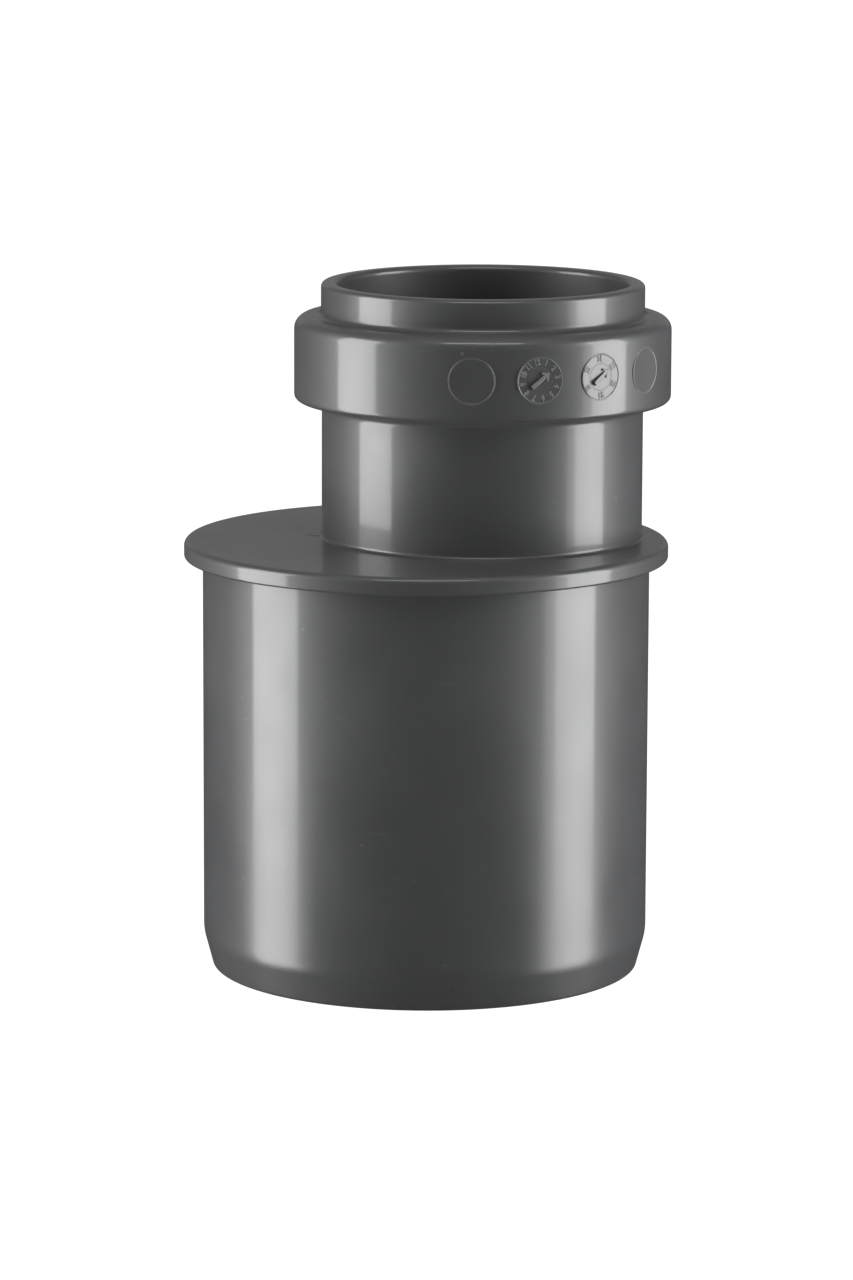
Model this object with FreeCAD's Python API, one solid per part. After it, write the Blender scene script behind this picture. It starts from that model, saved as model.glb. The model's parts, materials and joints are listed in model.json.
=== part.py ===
import FreeCAD, Part

import math
import os

from FreeCAD import Vector

# Eccentric push-fit reducer for waste water pipe: a plain end for a 50 mm socket carries a
# ring-seal socket for 32 mm pipe, set off centre so that both outer walls line up on +X.
# Millimetres. The origin is the centre of the plain end's rim, which the part stands on,
# +Z runs up to the small mouth, and +X is the side on which the small socket lies.

# Plain end (spigot)
spigot_outer_radius = 25.0
spigot_wall = 1.8
spigot_length = 46.5
lead_in_length = 4.0
lead_in_angle = 15.0
spigot_end_bevel = 0.35
spigot_bore_bevel = 1.0

# Stop plate that closes the plain end and carries the socket
plate_overhang = 2.1
plate_thickness = 2.3
plate_top_rounding = 1.4
plate_bottom_bevel = 0.3

# Socket for the small pipe
pipe_outer_radius = 16.0
pipe_clearance = 0.25
pipe_stop_width = 1.75
flow_hole_bevel = 0.4
socket_wall = 1.75
sleeve_height = 15.0
sleeve_root_bevel = 0.3

# Seal chamber, seen outside as the bead
groove_depth = 3.1
groove_height = 6.0
bead_root_bevel = 0.7
bead_bottom_rounding = 0.7
bead_top_rounding = 1.3

# Mouth collar above the bead
collar_height = 3.7
collar_wall = 1.85
collar_root_bevel = 0.6
rim_bevel = 0.35
mouth_lead_in = 0.5

# Four round tool inserts that leave flat discs on the bead, two each side of -Y
insert_radius = 2.6
insert_face_depth = 0.05
insert_pitch_angle = 20.4
insert_count = 4

# Lip seal that lies in the groove
seal_clearance = 0.1
seal_foot_recess = 0.35
seal_foot_height = 1.3
seal_back_thickness = 1.2
lip_squeeze = 0.7
lip_drop = 3.4
lip_thickness = 0.9
lip_root_recess = 0.8
lip_web = 1.5

# Radii worked out from the sizes above
socket_bore_radius = pipe_outer_radius + pipe_clearance
flow_hole_radius = pipe_outer_radius - pipe_stop_width
sleeve_outer_radius = socket_bore_radius + socket_wall
groove_radius = socket_bore_radius + groove_depth
bead_outer_radius = groove_radius + socket_wall
collar_outer_radius = socket_bore_radius + collar_wall
plate_outer_radius = spigot_outer_radius + plate_overhang
spigot_end_radius = spigot_outer_radius - lead_in_length * math.tan(math.radians(lead_in_angle))
spigot_bore_radius = spigot_outer_radius - spigot_wall

# The socket's axis stands off the plain end's axis until the two outer walls are in line.
socket_offset = spigot_outer_radius - sleeve_outer_radius

# Heights worked out from the sizes above
plate_top = spigot_length + plate_thickness
bead_bottom = plate_top + sleeve_height
groove_bottom = bead_bottom + socket_wall
groove_top = groove_bottom + groove_height
bead_top = groove_top + socket_wall
rim_top = bead_top + collar_height


def sharp(radius, height):
    """A plain corner of a profile."""
    return Vector(radius, 0, height), 0, "sharp"


def rounded(radius, height, rounding):
    """A corner of a profile with an arc of the given radius."""
    return Vector(radius, 0, height), rounding, "rounded"


def bevelled(radius, height, setback):
    """A corner of a profile that is cut off at the given distance along both its runs."""
    return Vector(radius, 0, height), setback, "bevelled"


def corner_edges(before, corner, after):
    """Start and end of what replaces a corner between two straight runs, and its edges."""
    point, size, kind = corner
    if kind == "sharp":
        return point, point, []
    towards_before = (before - point).normalize()
    towards_after = (after - point).normalize()
    half_angle = towards_before.getAngle(towards_after) / 2
    reach = size if kind == "bevelled" else size / math.tan(half_angle)
    start = point + towards_before * reach
    end = point + towards_after * reach
    if kind == "bevelled":
        return start, end, [Part.makeLine(start, end)]
    to_centre = (towards_before + towards_after).normalize()
    centre = point + to_centre * (size / math.sin(half_angle))
    middle = centre - to_centre * size
    if math.pi - 2 * half_angle < math.radians(45):
        return start, end, [Part.Arc(start, middle, end).toShape()]
    # A large turn is drawn as two arcs of the same radius that meet in the middle.
    halves = []
    for first, last in ((start, middle), (middle, end)):
        chord_middle = (first + last) / 2
        halfway = centre + (chord_middle - centre).normalize() * size
        halves.append(Part.Arc(first, halfway, last).toShape())
    return start, end, halves


def turned(corners, axis_x=0.0):
    """Solid of revolution about a vertical axis, from the corners of its half section."""
    points = [corner[0] for corner in corners]
    edges = []
    first_start = None
    run_start = None
    for index, corner in enumerate(corners):
        after = points[(index + 1) % len(points)]
        start, end, pieces = corner_edges(points[index - 1], corner, after)
        if run_start is None:
            first_start = start
        else:
            edges.append(Part.makeLine(run_start, start))
        edges.extend(pieces)
        run_start = end
    edges.append(Part.makeLine(run_start, first_start))
    solid = Part.Face(Part.Wire(edges)).revolve(Vector(0, 0, 0), Vector(0, 0, 1), 360)
    solid.translate(Vector(axis_x, 0, 0))
    return solid


def plain_end_and_plate():
    """Outside of the plain end, with its lead-in, and of the stop plate on top of it."""
    return turned([
        sharp(0, 0),
        bevelled(spigot_end_radius, 0, spigot_end_bevel),
        sharp(spigot_outer_radius, lead_in_length),
        sharp(spigot_outer_radius, spigot_length),
        bevelled(plate_outer_radius, spigot_length, plate_bottom_bevel),
        rounded(plate_outer_radius, plate_top, plate_top_rounding),
        sharp(0, plate_top),
    ])


def socket_outside():
    """Outside of the sleeve, the bead and the mouth collar, with a foot inside the plate."""
    foot_height = plate_top - plate_thickness / 2
    foot_radius = sleeve_outer_radius + sleeve_root_bevel
    return turned([
        sharp(0, foot_height),
        sharp(foot_radius, foot_height),
        sharp(foot_radius, plate_top),
        sharp(sleeve_outer_radius, plate_top + sleeve_root_bevel),
        bevelled(sleeve_outer_radius, bead_bottom, bead_root_bevel),
        rounded(bead_outer_radius, bead_bottom, bead_bottom_rounding),
        rounded(bead_outer_radius, bead_top, bead_top_rounding),
        bevelled(collar_outer_radius, bead_top, collar_root_bevel),
        bevelled(collar_outer_radius, rim_top, rim_bevel),
        sharp(0, rim_top),
    ], socket_offset)


def spigot_bore():
    """Space inside the plain end, up to the plate."""
    return turned([
        sharp(0, 0),
        sharp(spigot_bore_radius, 0),
        bevelled(spigot_bore_radius, spigot_length, spigot_bore_bevel),
        sharp(0, spigot_length),
    ])


def socket_bore():
    """Space inside the socket: flow hole, pipe stop, pipe bore, seal groove and mouth."""
    return turned([
        sharp(0, spigot_length),
        sharp(flow_hole_radius, spigot_length),
        sharp(flow_hole_radius, plate_top - flow_hole_bevel),
        sharp(flow_hole_radius + flow_hole_bevel, plate_top),
        sharp(socket_bore_radius, plate_top),
        sharp(socket_bore_radius, groove_bottom),
        sharp(groove_radius, groove_bottom),
        sharp(groove_radius, groove_top),
        sharp(socket_bore_radius, groove_top),
        sharp(socket_bore_radius, rim_top - mouth_lead_in),
        sharp(socket_bore_radius + mouth_lead_in, rim_top),
        sharp(0, rim_top),
    ], socket_offset)


def insert_directions():
    """Outward directions of the tool inserts, evenly spaced about -Y."""
    first = -90 - insert_pitch_angle * (insert_count - 1) / 2
    for index in range(insert_count):
        angle = math.radians(first + insert_pitch_angle * index)
        yield Vector(math.cos(angle), math.sin(angle), 0)


def with_insert_faces(body):
    """The body with each insert's flat disc, which takes the bead's crown down to a plane."""
    face_distance = bead_outer_radius - insert_face_depth
    socket_axis_point = Vector(socket_offset, 0, (bead_bottom + bead_top) / 2)
    pad_depth = socket_wall / 2
    for outward in insert_directions():
        pad_start = socket_axis_point + outward * (face_distance - pad_depth)
        face_centre = socket_axis_point + outward * face_distance
        pad = Part.makeCylinder(insert_radius, pad_depth, pad_start, outward)
        crown = Part.makeCylinder(insert_radius, pad_depth, face_centre, outward)
        body = body.cut(crown).fuse(pad)
    return body


def reducer_body():
    """The moulded body, one piece from the plain end to the small mouth."""
    outside = plain_end_and_plate().fuse(socket_outside())
    outside = with_insert_faces(outside)
    body = outside.cut(spigot_bore()).cut(socket_bore())
    return body.removeSplitter()


def seal_ring():
    """Rubber lip seal: a ring that fills the groove, with a lip slanting in and down."""
    outer = groove_radius - seal_clearance
    bottom = groove_bottom
    top = groove_top - seal_clearance
    foot_radius = socket_bore_radius + seal_foot_recess
    foot_top = bottom + seal_foot_height
    back_radius = outer - seal_back_thickness
    lip_root_radius = socket_bore_radius + lip_root_recess
    lip_tip_radius = pipe_outer_radius - lip_squeeze
    lip_tip = top - lip_drop
    return turned([
        sharp(outer, bottom),
        sharp(outer, top),
        sharp(lip_root_radius, top),
        sharp(lip_tip_radius, lip_tip),
        sharp(lip_tip_radius + lip_thickness, lip_tip),
        sharp(back_radius, top - lip_web),
        sharp(back_radius, foot_top),
        sharp(foot_radius, foot_top),
        sharp(foot_radius, bottom),
    ], socket_offset)


os.makedirs("parts", exist_ok=True)
for name, shape in (("reducer_body", reducer_body()), ("seal_ring", seal_ring())):
    if len(shape.Solids) == 1:
        shape = shape.Solids[0]
    shape.exportStep(f"parts/{name}.step")
    box = shape.optimalBoundingBox(False)
    print(
        f"{name}: {len(shape.Solids)} solid, valid {shape.isValid()}, {shape.Volume:.1f} mm3, "
        f"X {box.XMin:.2f} to {box.XMax:.2f}, Y {box.YMin:.2f} to {box.YMax:.2f}, "
        f"Z {box.ZMin:.2f} to {box.ZMax:.2f}")
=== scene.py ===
import json
import math

import bmesh
import bpy
from mathutils import Matrix, Vector


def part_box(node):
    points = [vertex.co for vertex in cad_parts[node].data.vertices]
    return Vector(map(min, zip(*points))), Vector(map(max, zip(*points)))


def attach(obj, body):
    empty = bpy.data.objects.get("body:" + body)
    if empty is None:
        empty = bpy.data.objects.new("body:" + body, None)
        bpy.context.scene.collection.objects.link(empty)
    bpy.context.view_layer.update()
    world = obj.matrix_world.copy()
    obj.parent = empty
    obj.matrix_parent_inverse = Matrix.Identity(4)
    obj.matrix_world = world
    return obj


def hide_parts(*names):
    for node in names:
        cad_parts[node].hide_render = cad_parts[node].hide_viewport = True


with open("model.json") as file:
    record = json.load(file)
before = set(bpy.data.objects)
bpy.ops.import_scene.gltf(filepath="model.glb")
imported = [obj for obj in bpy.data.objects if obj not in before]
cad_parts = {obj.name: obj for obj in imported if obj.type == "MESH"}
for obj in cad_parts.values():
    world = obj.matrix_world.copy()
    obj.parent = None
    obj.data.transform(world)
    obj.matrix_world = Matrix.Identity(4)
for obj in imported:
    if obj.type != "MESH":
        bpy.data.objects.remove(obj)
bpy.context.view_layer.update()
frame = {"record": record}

# Moulded body: one injection moulding in dark grey polypropylene. A wide plain end stands on
# the floor, a stop plate closes it, and the small socket rises off centre from the plate.
# Both walls are turned about their own axes, in millimetres, and the plate is filled between.
METRE = 0.001
AROUND = 256
FACET_TURN = 11
NEAR = 0.02
MERGE = 0.001
body_low, body_high = (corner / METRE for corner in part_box("reducer_body"))
seal_low, seal_high = (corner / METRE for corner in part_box("seal_ring"))
mounts = {mount["name"]: mount for mount in frame["record"]["mounts"]}
spigot_radius = mounts["spigot"]["dims"]["r_mm"]
socket_bore_radius = mounts["socket_mouth"]["dims"]["r_mm"]
socket_axis = Vector((mounts["socket_mouth"]["pos_m"][0] / METRE, 0, 0))
plate_radius = -body_low.x
bead_radius = body_high.x - socket_axis.x
rim_height = body_high.z

spigot_wall = 1.8
lead_in_height = 4.0
lead_in_slope = 15.0
lead_in_blend = 5.0
plate_bottom = 46.5
plate_top = 48.5
stop_width = 1.75
sleeve_radius = socket_bore_radius + 1.75
bead_bottom = 63.8
bead_top = 73.3
collar_radius = socket_bore_radius + 1.85
groove_radius = seal_high.x - socket_axis.x + 0.1
groove_top = seal_high.z + 0.1
spigot_bore_radius = spigot_radius - spigot_wall
flow_hole_radius = socket_bore_radius - stop_width - 0.25
spigot_end_radius = spigot_radius - lead_in_height * math.tan(math.radians(lead_in_slope))

# Rows of faces up the bead's straight wall, close enough for the insert discs to be let in, and
# how near to its ends a long straight run gets a point, so that it shades as truly straight
bead_rows = 12
HOLD = 0.12


def turned_wall(corners, axis, rows=()):
    """Open wall of revolution from the corners (radius, height, rounding) of its section."""
    bm = bmesh.new()
    points = [bm.verts.new((radius, 0, height)) for radius, height, _ in corners]
    for pair in zip(points, points[1:]):
        bm.edges.new(pair)
    for back, corner, ahead, point in zip(corners, corners[1:], corners[2:], points[1:]):
        to_back, to_ahead = (Vector(end[:2]) - Vector(corner[:2]) for end in (back, ahead))
        half_angle = to_back.angle(to_ahead) / 2
        rounding = corner[2]
        if rounding:
            steps = max(3, round((180 - 2 * math.degrees(half_angle)) / FACET_TURN))
            bmesh.ops.bevel(
                bm, geom=[point], offset=rounding / math.tan(half_angle), segments=steps,
                profile=0.5, affect="VERTICES", material=-1)
    for edge in [edge for edge in bm.edges if edge.calc_length() > 4 * HOLD]:
        first, last = edge.verts
        length = edge.calc_length()
        split = bmesh.utils.edge_split(edge, first, HOLD / length)[0]
        middle = split if last in split.verts else edge
        bmesh.utils.edge_split(middle, last, HOLD / (length - HOLD))
    for low, high, count in rows:
        for edge in list(bm.edges):
            heights = sorted(end.co.z for end in edge.verts)
            if heights[0] > low and heights[1] < high and edge.calc_length() > 4 * HOLD:
                bmesh.ops.subdivide_edges(bm, edges=[edge], cuts=count - 1)
    # An eighth of a turn is spun and then doubled three times, which is quicker than a full spin.
    turn = math.pi / 4
    bmesh.ops.spin(
        bm, geom=bm.verts[:] + bm.edges[:], axis=(0, 0, 1), cent=(0, 0, 0),
        angle=turn, steps=AROUND // 8)
    for _ in range(3):
        copy = bmesh.ops.duplicate(bm, geom=bm.verts[:] + bm.edges[:] + bm.faces[:])["geom"]
        bmesh.ops.rotate(
            bm, verts=[part for part in copy if isinstance(part, bmesh.types.BMVert)],
            cent=(0, 0, 0), matrix=Matrix.Rotation(turn, 3, "Z"))
        turn *= 2
    bmesh.ops.remove_doubles(bm, verts=bm.verts, dist=MERGE)
    bmesh.ops.translate(bm, vec=axis, verts=bm.verts)
    return bm


def add(target, extra):
    """Adds the geometry of one bmesh to another."""
    carrier = bpy.data.meshes.new("carrier")
    extra.to_mesh(carrier)
    target.from_mesh(carrier)
    bpy.data.meshes.remove(carrier)
    extra.free()


def open_hoop(bm, axis, height, radius):
    """The open round edge of a wall at a height and radius about an axis."""
    found = []
    for edge in bm.edges:
        if edge.is_boundary:
            flat = [(end.co - axis).xy.length for end in edge.verts]
            if max(abs(found_radius - radius) for found_radius in flat) < NEAR:
                if abs(edge.verts[0].co.z - height) < NEAR:
                    found.append(edge)
    return found


# Where the turned walls end and the plate's flat faces begin. The plate's rim and the sleeve's
# foot come close to each other on +X, where the outer walls are in line, and mustn't meet there.
plate_top_edge = plate_radius - 1.0
sleeve_foot_edge = sleeve_radius + 0.42
plate_inner_edge = spigot_bore_radius - 1.2
flow_hole_edge = flow_hole_radius + 0.3

body = turned_wall([
    (plate_inner_edge, plate_bottom, 0),
    (spigot_bore_radius, plate_bottom, 1.0),
    (spigot_bore_radius, 0, 0.2),
    (spigot_end_radius, 0, 0.4),
    (spigot_radius, lead_in_height, lead_in_blend),
    (spigot_radius, plate_bottom, 0.2),
    (plate_radius, plate_bottom, 0.3),
    (plate_radius, plate_top, 0.7),
    (plate_top_edge, plate_top, 0),
], Vector((0, 0, 0)))
add(body, turned_wall([
    (sleeve_foot_edge, plate_top, 0),
    (sleeve_radius, plate_top, 0.4),
    (sleeve_radius, bead_bottom, 1.1),
    (bead_radius, bead_bottom, 0.7),
    (bead_radius, bead_top, 1.5),
    (collar_radius, bead_top, 0.8),
    (collar_radius, rim_height, 0.55),
    (socket_bore_radius, rim_height, 0.6),
    (socket_bore_radius, groove_top, 0.12),
    (groove_radius, groove_top, 0.3),
    (groove_radius, seal_low.z, 0.3),
    (socket_bore_radius, seal_low.z, 0.12),
    (socket_bore_radius, plate_top, 0.3),
    (flow_hole_radius, plate_top, 0.4),
    (flow_hole_radius, plate_bottom, 0.15),
    (flow_hole_edge, plate_bottom, 0),
], socket_axis, rows=[(bead_bottom, bead_top, bead_rows)]))


def grow_rings(bm, edges, centre, outward, rightward, rings, pale_rings=0):
    """Draws a round open edge through rings (radius, rise) with crisp edges and closes it.

    The first few rings may be painted pale as a highlight, and then their faces take the second
    material.
    """
    upward = outward.cross(rightward)
    for step, (radius, rise) in enumerate(rings):
        for edge in edges:
            edge.smooth = False
        grown = bmesh.ops.extrude_edge_only(bm, edges=edges)["geom"]
        for part in grown:
            if isinstance(part, bmesh.types.BMFace):
                part.material_index = int(step < pale_rings)
        edges = [part for part in grown if isinstance(part, bmesh.types.BMEdge)
                 and part.is_boundary]
        for vert in {end for edge in edges for end in edge.verts}:
            offset = vert.co - centre
            flat = Vector((offset.dot(rightward), offset.dot(upward))).normalized() * radius
            vert.co = centre + rightward * flat.x + upward * flat.y + outward * rise
    for edge in edges:
        edge.smooth = False
    for face in bmesh.ops.contextual_create(bm, geom=edges)["faces"]:
        face.material_index = 0


# The plate's flat top and underside are filled between the walls. The top keeps the low mark
# that the mould's gate leaves beside the sleeve.
gate_centre = Vector((-10.2, 7.6, plate_top))
gate_foot_radius = 1.15
gate_radius = 1.05
gate_height = 0.06
gate = bmesh.ops.create_circle(
    body, cap_ends=False, radius=gate_foot_radius, segments=40,
    matrix=Matrix.Translation(gate_centre))["verts"]
gate_edge = list({edge for vert in gate for edge in vert.link_edges})
bmesh.ops.triangle_fill(
    body, use_beauty=True, use_dissolve=False,
    edges=open_hoop(body, Vector((0, 0, 0)), plate_top, plate_top_edge)
    + open_hoop(body, socket_axis, plate_top, sleeve_foot_edge) + gate_edge)
bmesh.ops.triangle_fill(
    body, use_beauty=True, use_dissolve=False,
    edges=open_hoop(body, Vector((0, 0, 0)), plate_bottom, plate_inner_edge)
    + open_hoop(body, socket_axis, plate_bottom, flow_hole_edge))
grow_rings(body, gate_edge, gate_centre, Vector((0, 0, 1)), Vector((1, 0, 0)), [
    (gate_radius, gate_height / 2), (gate_radius - 0.2, gate_height),
    (gate_radius - 0.5, gate_height - 0.02)])

# Insert discs: four round tool inserts leave flat faces on the bead, each with a fine raised
# witness ring at its edge. Two are blank, and two are date dials with a turned inner disc.
insert_radius = 2.6
insert_height = (bead_bottom + bead_top) / 2
insert_face = bead_radius - 0.05
insert_pitch = 20.4
insert_angles = [math.radians(-90 + insert_pitch * place) for place in (-1.5, -0.5, 0.5, 1.5)]
dial_inserts = insert_angles[1:3]
inner_disc_radius = 1.47
patch_margin = 0.55


def insert_frame(angle):
    """Centre of an insert's face, with its outward and rightward directions."""
    outward = Vector((math.cos(angle), math.sin(angle), 0))
    rightward = Vector((-math.sin(angle), math.cos(angle), 0))
    return socket_axis + outward * insert_face + Vector((0, 0, insert_height)), outward, rightward


def let_in_disc(bm, angle, rings):
    """Cuts a round opening into the bead's wall and closes it with rings (radius, rise)."""
    centre, outward, rightward = insert_frame(angle)
    patch = set()
    for face in bm.faces:
        offset = face.calc_center_median() - centre
        beside = abs(offset.dot(rightward)) < insert_radius + patch_margin
        if beside and offset.dot(outward) > -1:
            if -insert_radius - 0.35 < offset.z < insert_radius + 0.3:
                patch.add(face)
    rim = {edge for face in patch for edge in face.edges
           if sum(neighbour in patch for neighbour in edge.link_faces) == 1}
    bmesh.ops.delete(bm, geom=list(patch), context="FACES")
    circle = bmesh.ops.create_circle(bm, cap_ends=False, radius=insert_radius, segments=72)["verts"]
    for vert in circle:
        across, upward = vert.co.x, vert.co.y
        depth = math.sqrt(bead_radius ** 2 - across ** 2) - insert_face
        vert.co = centre + rightward * across + Vector((0, 0, upward)) + outward * depth
    hoop = {edge for vert in circle for edge in vert.link_edges}
    bridge = bmesh.ops.bridge_loops(bm, edges=list(rim | hoop))
    spokes = [edge for edge in bridge["edges"] if edge not in rim and edge not in hoop]
    split = bmesh.ops.subdivide_edges(bm, edges=spokes, cuts=3, use_grid_fill=True)
    for vert in split["geom_inner"]:
        if isinstance(vert, bmesh.types.BMVert):
            flat = (vert.co - socket_axis).xy.normalized() * bead_radius
            vert.co.xy = socket_axis.xy + flat
    # The witness ring's faces take the paler plastic: a painted highlight along the ring.
    grow_rings(bm, list(hoop), centre, outward, rightward, rings, pale_rings=len(witness_ring))


witness_ring = [
    (insert_radius - 0.05, 0.018), (insert_radius - 0.12, 0.034), (insert_radius - 0.2, 0)]
inner_groove = [
    (inner_disc_radius + 0.04, 0), (inner_disc_radius + 0.015, -0.018),
    (inner_disc_radius - 0.015, -0.018), (inner_disc_radius - 0.04, 0)]
for angle in insert_angles:
    let_in_disc(body, angle, witness_ring + (inner_groove if angle in dial_inserts else []))


def finished(bm, name, *materials):
    """Turns a bmesh in millimetres into a smooth-shaded object in metres."""
    bmesh.ops.remove_doubles(bm, verts=bm.verts, dist=MERGE / 2)
    bmesh.ops.recalc_face_normals(bm, faces=bm.faces)
    bmesh.ops.scale(bm, vec=(METRE, METRE, METRE), verts=bm.verts)
    for face in bm.faces:
        face.smooth = True
    mesh = bpy.data.meshes.new(name)
    bm.to_mesh(mesh)
    bm.free()
    for material in materials:
        mesh.materials.append(material)
    piece = bpy.data.objects.new(name, mesh)
    bpy.context.scene.collection.objects.link(piece)
    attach(piece, "root")
    return piece


def place_node(tree, kind, values=(), **settings):
    """Adds a shader node. Values are pairs of an input and what it is set or linked to."""
    made = tree.nodes.new("ShaderNode" + kind)
    for setting, choice in settings.items():
        setattr(made, setting, choice)
    for socket, value in values:
        if isinstance(value, bpy.types.NodeSocket):
            tree.links.new(value, made.inputs[socket])
        else:
            made.inputs[socket].default_value = value
    return made


def new_effect(name, numbers, result):
    """An empty shader node group with number inputs and one number that varies as its output."""
    group = bpy.data.node_groups.new(name, "ShaderNodeTree")
    for label, start in numbers:
        socket = group.interface.new_socket(
            name=label, in_out="INPUT", socket_type="NodeSocketFloat")
        socket.default_value = start
    group.interface.new_socket(name=result, in_out="OUTPUT", socket_type="NodeSocketFloat")
    return group, group.nodes.new("NodeGroupInput").outputs, group.nodes.new("NodeGroupOutput").inputs


# Soft clouds: patches that are a little duller or glossier, as handling leaves on any moulding.
clouds, given, result = new_effect("clouds", [("Scale", 150)], "Cloud")
spot = place_node(clouds, "TexCoord").outputs["Object"]
noise = place_node(clouds, "TexNoise", [
    ("Vector", spot), ("Scale", given["Scale"]), ("Detail", 4), ("Roughness", 0.6)])
spread = place_node(clouds, "MapRange", [
    ("Value", noise.outputs["Fac"]), ("From Min", 0.3), ("From Max", 0.7)])
clouds.links.new(spread.outputs["Result"], result["Cloud"])

# Streaks: fine lines along the height, or round the axis where Stretch is above one. The mould
# leaves them along the way in which the moulding is drawn from it.
streaks, given, result = new_effect("streaks", [("Scale", 900), ("Stretch", 0.03)], "Streak")
spot = place_node(streaks, "TexCoord").outputs["Object"]
along = place_node(streaks, "CombineXYZ", [("X", 1), ("Y", 1), ("Z", given["Stretch"])])
stretched = place_node(
    streaks, "VectorMath", [(0, spot), (1, along.outputs["Vector"])], operation="MULTIPLY")
noise = place_node(streaks, "TexNoise", [
    ("Vector", stretched.outputs["Vector"]), ("Scale", given["Scale"]), ("Detail", 3)])
spread = place_node(streaks, "MapRange", [
    ("Value", noise.outputs["Fac"]), ("From Min", 0.28), ("From Max", 0.72)])
streaks.links.new(spread.outputs["Result"], result["Streak"])

# Specks: sparse pale points of dust and tiny nicks.
specks, given, result = new_effect("specks", [("Scale", 800), ("Share", 0.1)], "Speck")
spot = place_node(specks, "TexCoord").outputs["Object"]
cells = place_node(specks, "TexVoronoi", [("Vector", spot), ("Scale", given["Scale"])])
near = place_node(specks, "MapRange", [
    ("Value", cells.outputs["Distance"]), ("From Min", 0.16), ("From Max", 0.06)])
pick = place_node(specks, "SeparateColor", [("Color", cells.outputs["Color"])])
chosen = place_node(
    specks, "Math", [(0, pick.outputs["Red"]), (1, given["Share"])], operation="LESS_THAN")
speck = place_node(
    specks, "Math", [(0, near.outputs["Result"]), (1, chosen.outputs[0])], operation="MULTIPLY")
specks.links.new(speck.outputs[0], result["Speck"])


def effect_in(tree, group, **numbers):
    """Places an effect in a material with its own values and gives back its output."""
    made = place_node(tree, "Group", node_tree=group)
    for label, number in numbers.items():
        made.inputs[label].default_value = number
    return made.outputs[0]


def blended(tree, mask, low, high):
    """A number that follows a mask from low to high."""
    return place_node(tree, "MapRange", [
        ("Value", mask), ("To Min", low), ("To Max", high)]).outputs["Result"]


def combined(tree, operation, first, second):
    """Two numbers or masks added, multiplied or compared."""
    return place_node(tree, "Math", [(0, first), (1, second)], operation=operation).outputs[0]


# Scuffs on the outside: the axis and radius of the wall, the angle about that axis, the height,
# and half the length and the thickness in millimetres. Two lie at the sleeve's foot, two at the
# bead's top, and two on the plain end. Each fades from its middle.
scuffs = [
    (socket_axis, sleeve_radius, -91.4, 54.6, 0.5, 0.05),
    (socket_axis, sleeve_radius, -104.5, 54.8, 0.55, 0.05),
    (socket_axis, bead_radius, -114.4, 71.9, 0.12, 0.2),
    (socket_axis, bead_radius, -147.9, 70.7, 0.16, 0.12),
    (Vector((0, 0, 0)), spigot_radius, -143.8, 34.6, 0.5, 0.07),
    (Vector((0, 0, 0)), spigot_radius, -111, 46.0, 0.45, 0.05),
]


# Heights between which the plain end's polished skin wears thin
worn_from = 38
worn_bare = 6


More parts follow.
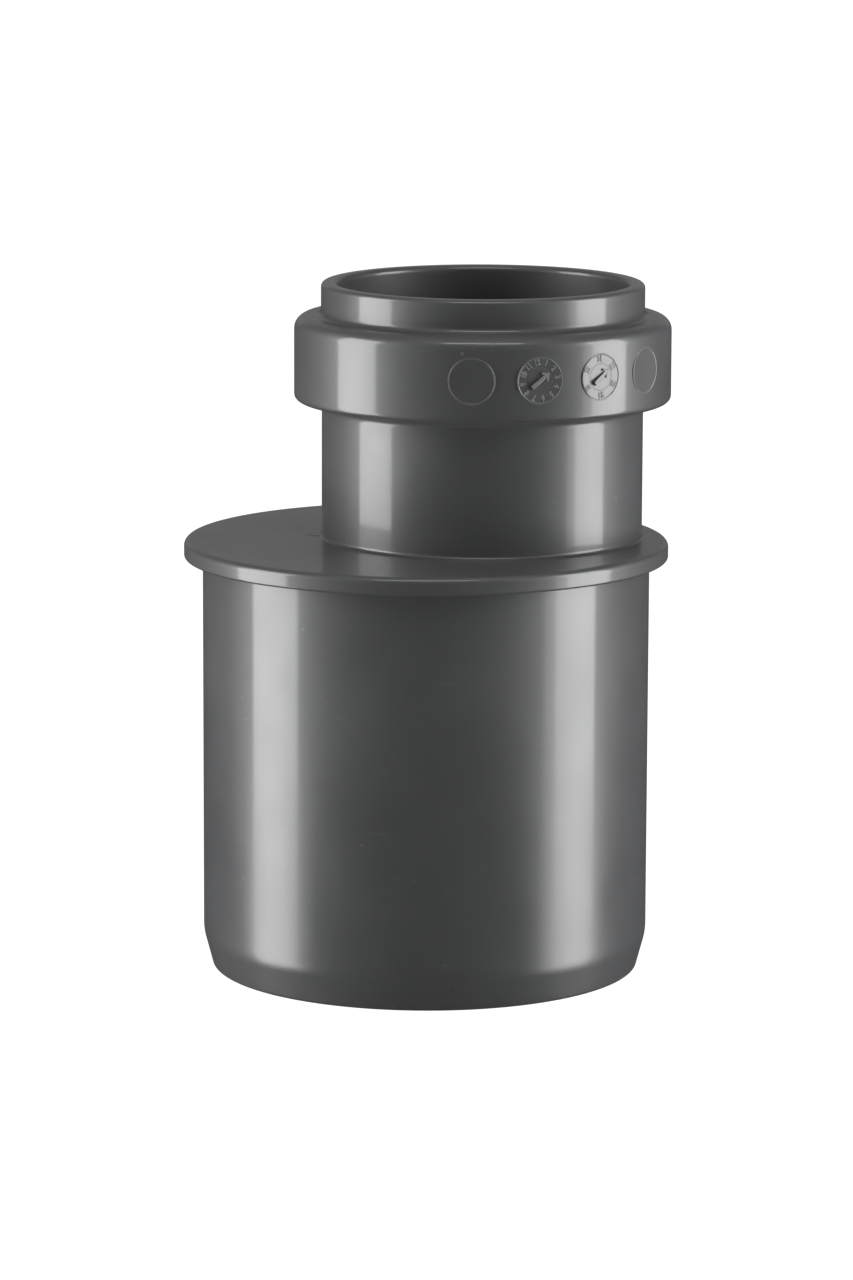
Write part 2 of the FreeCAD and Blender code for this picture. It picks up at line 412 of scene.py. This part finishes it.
def plastic_finish(name, colour, roughness, coat, scuffed):
    """Dark grey polypropylene: a broad soft gloss under a thin polished skin, worn in places."""
    material = bpy.data.materials.new(name)
    material.use_nodes = True
    tree = material.node_tree
    shader = tree.nodes["Principled BSDF"]
    shader.inputs["IOR"].default_value = 1.5
    shader.inputs["Coat Roughness"].default_value = 0.1

    cloud = effect_in(tree, clouds, Scale=110)
    draw_marks = effect_in(tree, streaks, Scale=1100, Stretch=0.02)
    rub_marks = effect_in(tree, streaks, Scale=160, Stretch=14)
    grain = effect_in(tree, clouds, Scale=3800)
    dust = effect_in(tree, specks, Scale=650, Share=0.035)

    # Rubbing while the fittings lie packed together leaves sparse faint lines round them.
    pale_rings = place_node(tree, "MapRange", [("Value", rub_marks), ("From Min", 0.9), ("From Max", 1)])
    marked = combined(tree, "MAXIMUM", dust, combined(tree, "MULTIPLY", pale_rings.outputs[0], 0.16))
    if scuffed:
        spot = place_node(tree, "TexCoord").outputs["Object"]
        for axis, radius, turn, height, half_length, half_height in scuffs:
            turn = math.radians(turn)
            centre = axis + Vector((radius * math.cos(turn), radius * math.sin(turn), height))
            offset = place_node(
                tree, "VectorMath", [(0, spot), (1, centre * METRE)], operation="SUBTRACT")
            size = Vector((1 / half_length, 1 / half_length, 1 / half_height)) / METRE
            scaled = place_node(
                tree, "VectorMath", [(0, offset.outputs[0]), (1, size)], operation="MULTIPLY")
            reach = place_node(tree, "VectorMath", [(0, scaled.outputs[0])], operation="LENGTH")
            scuff = blended(tree, reach.outputs["Value"], 1, 0)
            marked = combined(tree, "MAXIMUM", marked, scuff)

    # In the photograph the highlights soften towards the plain end's open end. Its polished skin
    # is taken as worn thin there.
    height = place_node(tree, "SeparateXYZ", [
        ("Vector", place_node(tree, "TexCoord").outputs["Object"])]).outputs["Z"]
    worn = place_node(tree, "MapRange", [
        ("Value", height), ("From Min", worn_from * METRE), ("From Max", worn_bare * METRE)],
        interpolation_type="SMOOTHSTEP").outputs["Result"]

    tone = blended(tree, cloud, 0.95, 1.05)
    tone = combined(tree, "ADD", tone, combined(tree, "MULTIPLY", marked, 0.9))
    tinted = place_node(
        tree, "VectorMath", [(0, colour), ("Scale", tone)], operation="SCALE")
    tree.links.new(tinted.outputs[0], shader.inputs["Base Color"])

    dullness = combined(tree, "ADD", blended(tree, cloud, -0.025, 0.03), roughness)
    dullness = combined(tree, "ADD", dullness, blended(tree, draw_marks, -0.012, 0.012))
    dullness = combined(tree, "ADD", dullness, combined(tree, "MULTIPLY", marked, 0.12))
    dullness = combined(tree, "ADD", dullness, blended(tree, worn, 0, -0.13))
    tree.links.new(dullness, shader.inputs["Roughness"])

    skin = combined(tree, "MULTIPLY", blended(tree, cloud, 1.08, 0.92), coat)
    skin = combined(tree, "MULTIPLY", skin, blended(tree, draw_marks, 0.95, 1.05))
    skin = combined(tree, "MULTIPLY", skin, blended(tree, marked, 1, 0.55))
    skin = combined(tree, "MULTIPLY", skin, blended(tree, worn, 1, 0.2))
    tree.links.new(skin, shader.inputs["Coat Weight"])

    relief = combined(tree, "ADD", draw_marks, combined(tree, "MULTIPLY", grain, 0.6))
    relief = combined(tree, "SUBTRACT", relief, combined(tree, "MULTIPLY", marked, 2))
    bump = place_node(tree, "Bump", [
        ("Strength", 0.35), ("Distance", 0.004 * METRE), ("Height", relief)])
    tree.links.new(bump.outputs["Normal"], shader.inputs["Normal"])
    return material


grey_plastic = (0.0542, 0.0552, 0.0568)
plastic = plastic_finish("moulded_plastic", grey_plastic, 0.43, 0.45, True)
# A paler copy of the plastic for the witness rings and the dial arrows: a painted highlight, standing
# in for the light that these small raised edges catch.
pale_highlight_plastic = plastic_finish(
    "pale_highlight_plastic", tuple(1.5 * share for share in grey_plastic), 0.5, 0.3, False)
fitting = finished(body, "fitting_body", plastic, pale_highlight_plastic)
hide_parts("reducer_body")

# Date dials: the raised figures and the arrow that the two date inserts leave on their discs.
# They are part of the moulding. The left dial counts twelve months, the right one six years.
figure_height = 0.9
figure_width = 0.8
figure_rise = 0.05
figure_bevel = 0.02
figure_swell = 0.026
figure_ring = 1.98
arrow_rise = 0.24
arrow_fall = 0.16
SUNK = 0.06
# The figures take a paler, matter copy of the plastic: a painted highlight, standing in for the light
# that the small raised figures catch from every side.
figure_highlight = plastic_finish(
    "figure_highlight_plastic", tuple(2.7 * share for share in grey_plastic), 0.6, 0.12, False)


def raised_figures(text):
    """Raised figures as a bmesh in millimetres, centred on the origin."""
    curve = bpy.data.curves.new("figures", "FONT")
    curve.body = text
    curve.size = figure_height
    curve.align_x = "CENTER"
    curve.align_y = "CENTER"
    curve.extrude = (figure_rise + SUNK) / 2 - figure_bevel
    curve.bevel_depth = figure_bevel
    curve.offset = figure_swell
    curve.resolution_u = 4
    curve.space_character = 0.94
    carrier = bpy.data.objects.new("figures", curve)
    mesh = bpy.data.meshes.new_from_object(carrier)
    bm = bmesh.new()
    bm.from_mesh(mesh)
    bmesh.ops.scale(bm, vec=(figure_width, 1, 1), verts=bm.verts)
    bmesh.ops.translate(bm, vec=(0, 0, (figure_rise - SUNK) / 2), verts=bm.verts)
    bpy.data.objects.remove(carrier)
    bpy.data.curves.remove(curve)
    bpy.data.meshes.remove(mesh)
    return bm


def raised_arrow(turn):
    """The arrow of a dial, along +Y and in millimetres, with a top that falls to the right."""
    bm = bmesh.new()
    half = [(0.24, -1.22), (0.24, 0.72), (0.46, 0.5), (0.64, 0.68), (0, 1.36)]
    outline = half + [(-across, along) for across, along in half[-2::-1]]
    face = bm.faces.new([bm.verts.new((across, along, -SUNK)) for across, along in outline])
    grown = bmesh.ops.extrude_face_region(bm, geom=[face])["geom"]
    top = [part for part in grown if isinstance(part, bmesh.types.BMVert)]
    bmesh.ops.translate(bm, vec=(0, 0, arrow_rise + SUNK), verts=top)
    rightward = Vector((math.cos(turn), math.sin(turn), 0))
    for vert in top:
        vert.co.z -= arrow_fall * vert.co.dot(rightward)
    bmesh.ops.recalc_face_normals(bm, faces=bm.faces)
    upper = [edge for edge in bm.edges if all(end.co.z > 0 for end in edge.verts)]
    bmesh.ops.bevel(
        bm, geom=upper, offset=0.07, segments=3, profile=0.5, affect="EDGES", material=-1)
    # The arrow takes the second material, the paler plastic: a painted highlight on the arrow.
    for face in bm.faces:
        face.material_index = 1
    return bm


def date_dial(name, insert, figures, first_turn, arrow_turn):
    """Figures round an insert's disc and the arrow in its middle, as one raised piece."""
    centre, outward, rightward = insert_frame(insert)
    bm = bmesh.new()
    stamps = [(raised_arrow(math.radians(arrow_turn)), arrow_turn, 0)]
    for place, text in enumerate(figures):
        stamps.append((raised_figures(text), first_turn + 360 / len(figures) * place, figure_ring))
    for stamp, turn, ring in stamps:
        turn = math.radians(turn)
        along = rightward * math.sin(turn) + Vector((0, 0, math.cos(turn)))
        across = rightward * math.cos(turn) - Vector((0, 0, math.sin(turn)))
        place = Matrix((across, along, outward)).transposed().to_4x4()
        place.translation = centre + along * ring
        bmesh.ops.transform(stamp, matrix=place, verts=stamp.verts)
        add(bm, stamp)
    piece = finished(bm, name, figure_highlight, pale_highlight_plastic)
    piece.data.shade_flat()


date_dial("month_dial", dial_inserts[0], [str(month) for month in range(1, 13)], 20, 53)
date_dial("year_dial", dial_inserts[1], [str(year) for year in range(20, 26)], -63, 57)

# Seal ring: a lip seal moulded in black rubber. It is pressed into the groove of the socket,
# and its lip slants inwards and down, so that the pipe bends it outwards as it is pushed in.
seal_radius = seal_high.x - socket_axis.x
foot_radius = socket_bore_radius + 0.35
foot_height = seal_low.z + 1.3
back_radius = seal_radius - 1.2
lip_root_radius = socket_bore_radius + 0.8
lip_tip_radius = socket_bore_radius - 0.95
lip_tip_height = seal_high.z - 3.4
web_height = seal_high.z - 1.5
rubber = bpy.data.materials.new("seal_rubber")
rubber.use_nodes = True
tree = rubber.node_tree
shader = tree.nodes["Principled BSDF"]
shader.inputs["IOR"].default_value = 1.5
cloud = effect_in(tree, clouds, Scale=260)
flow_lines = effect_in(tree, streaks, Scale=140, Stretch=9)
dust = effect_in(tree, specks, Scale=900, Share=0.12)
tone = combined(tree, "ADD", blended(tree, cloud, 0.85, 1.15), combined(tree, "MULTIPLY", dust, 3))
tinted = place_node(
    tree, "VectorMath", [(0, (0.02, 0.02, 0.021)), ("Scale", tone)], operation="SCALE")
tree.links.new(tinted.outputs[0], shader.inputs["Base Color"])
tree.links.new(blended(tree, cloud, 0.5, 0.66), shader.inputs["Roughness"])
relief = combined(tree, "ADD", flow_lines, effect_in(tree, clouds, Scale=5000))
bump = place_node(tree, "Bump", [
    ("Strength", 0.5), ("Distance", 0.01 * METRE), ("Height", relief)])
tree.links.new(bump.outputs["Normal"], shader.inputs["Normal"])
seal = turned_wall([
    (seal_radius, seal_low.z + 2, 0),
    (seal_radius, seal_high.z, 0.25),
    (lip_root_radius, seal_high.z, 0.5),
    (lip_tip_radius, lip_tip_height, 0.2),
    (lip_tip_radius + 0.9, lip_tip_height, 0.3),
    (back_radius, web_height, 0.4),
    (back_radius, foot_height, 0.4),
    (foot_radius, foot_height, 0.3),
    (foot_radius, seal_low.z, 0.3),
    (seal_radius, seal_low.z, 0.25),
    (seal_radius, seal_low.z + 2, 0),
], socket_axis)
lip_seal = finished(seal, "lip_seal", rubber)
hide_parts("seal_ring")

# Floor: a plain pale floor that the camera sees as pure white and without a shadow, as in the
# photograph. The lamps reach below it, so that the walls mirror them down to the open end. For
# that the floor is hidden from mirror rays and blocks no lamp.
floor_half_width = 6
floor_white = 1.45
floor_white_share = 0.7
floor_mesh = bpy.data.meshes.new("floor")
floor_bm = bmesh.new()
bmesh.ops.create_grid(floor_bm, x_segments=1, y_segments=1, size=floor_half_width)
floor_bm.to_mesh(floor_mesh)
floor_bm.free()
floor = bpy.data.objects.new("floor", floor_mesh)
bpy.context.scene.collection.objects.link(floor)
floor.visible_glossy = False
floor.visible_shadow = False
paint = bpy.data.materials.new("floor_paint")
paint.use_nodes = True
tree = paint.node_tree
shader = tree.nodes["Principled BSDF"]
shader.inputs["Base Color"].default_value = (0.45, 0.45, 0.45, 1)
shader.inputs["Roughness"].default_value = 0.9
shader.inputs["Specular IOR Level"].default_value = 0
rays = place_node(tree, "LightPath").outputs
seen = combined(tree, "MAXIMUM", rays["Is Camera Ray"], rays["Is Glossy Ray"])
seen = combined(tree, "MAXIMUM", seen, rays["Is Transmission Ray"])
white = place_node(tree, "Emission", [("Strength", floor_white)])
mix = place_node(tree, "MixShader", [
    (0, combined(tree, "MULTIPLY", seen, floor_white_share)),
    (1, shader.outputs[0]), (2, white.outputs[0])])
tree.links.new(mix.outputs[0], tree.nodes["Material Output"].inputs["Surface"])
floor_mesh.materials.append(paint)

# Camera, as in the photograph: ten degrees above the horizon, and 27 degrees from -Y towards -X.
aim = Vector((0.074, -0.037, 36.907)) * METRE
camera_distance = 0.618
camera_azimuth = math.radians(-26.8)
camera_pitch = math.radians(10.232)
camera_roll = math.radians(0.219)
focal_pixels = 5501.7
image_height = 1280
back = Vector((
    math.sin(camera_azimuth) * math.cos(camera_pitch),
    -math.cos(camera_azimuth) * math.cos(camera_pitch),
    math.sin(camera_pitch)))
camera_data = bpy.data.cameras.new("camera")
camera_data.sensor_width = 36
camera_data.lens = focal_pixels * camera_data.sensor_width / image_height
camera = bpy.data.objects.new("camera", camera_data)
bpy.context.scene.collection.objects.link(camera)
bpy.context.scene.camera = camera
camera.location = aim + back * camera_distance
look = (-back).to_track_quat("-Z", "Y").to_matrix() @ Matrix.Rotation(camera_roll, 3, "Z")
camera.rotation_euler = look.to_euler()

# Light, as in a studio: two tall soft lamps, one each side, brighter at their feet, with a weaker
# one beside the right lamp that softens its inner edge. A lamp overhead and a fill in front light
# the matt share of the finish alone, and the edges alone mirror a strip high in front. A glow
# overhead and one behind light the flat tops. The room itself is nearly dark.
side_lamp_distance = 0.6
whole = (0.09, 0.74)
foot = (-0.2, 0.2)


def soft_lamp(name, place, width, height, radiance):
    """A soft rectangular lamp with an even radiance."""
    lamp_data = bpy.data.lights.new(name, "AREA")
    lamp_data.shape = "RECTANGLE"
    lamp_data.size = width
    lamp_data.size_y = height
    lamp_data.energy = radiance * math.pi * width * height
    lamp = bpy.data.objects.new(name, lamp_data)
    bpy.context.scene.collection.objects.link(lamp)
    lamp.location = place
    return lamp


def side_lamp(name, side, width, span, radiance):
    """A lamp beside the fitting, at an angle from the camera's direction. Its span is the height
    of its middle and its own height.
    """
    middle, height = span
    turn = camera_azimuth + math.radians(side)
    outward = Vector((math.sin(turn), -math.cos(turn), 0))
    place = outward * side_lamp_distance + Vector((0, 0, middle))
    lamp = soft_lamp(name, place, width, height, radiance)
    lamp.rotation_euler = (-outward).to_track_quat("-Z", "Y").to_euler()


side_lamp("left_lamp", -82.8, 0.325, whole, 9.3)
side_lamp("right_lamp", 82, 0.284, whole, 9.3)
side_lamp("right_lamp_edge", 65.5, 0.07, whole, 3.2)
side_lamp("left_lamp_foot", -82.8, 0.325, foot, 3.6)
side_lamp("right_lamp_foot", 82, 0.284, foot, 3.6)
towards_camera = Vector((math.sin(camera_azimuth), -math.cos(camera_azimuth), 0))
for name, ahead, above, width, height, radiance, on_matt, in_gloss in [
    ("overhead_lamp", 0.05, 1.4, 1.8, 1.8, 0.95, True, False),
    ("front_fill", 0.9, 0.08, 0.8, 0.3, 0.9, True, False),
    ("front_strip", 0.6, 1.12, 0.8, 0.16, 9.5, False, True),
    ("overhead_glow", 0.05, 1.45, 1.8, 1.8, 0.24, True, True),
    ("back_glow", -1.02, 0.66, 1.1, 1.3, 0.23, True, True),
]:
    place = towards_camera * ahead + Vector((0, 0, above))
    lamp = soft_lamp(name, place, width, height, radiance)
    lamp.rotation_euler = place.to_track_quat("Z", "Y").to_euler()
    lamp.visible_camera = False
    lamp.visible_diffuse = on_matt
    lamp.visible_glossy = in_gloss

world = bpy.data.worlds.new("room")
world.use_nodes = True
world.node_tree.nodes["Background"].inputs["Color"].default_value = (1, 1, 1, 1)
world.node_tree.nodes["Background"].inputs["Strength"].default_value = 0.04
bpy.context.scene.world = world
bpy.context.scene.view_settings.view_transform = "Standard"
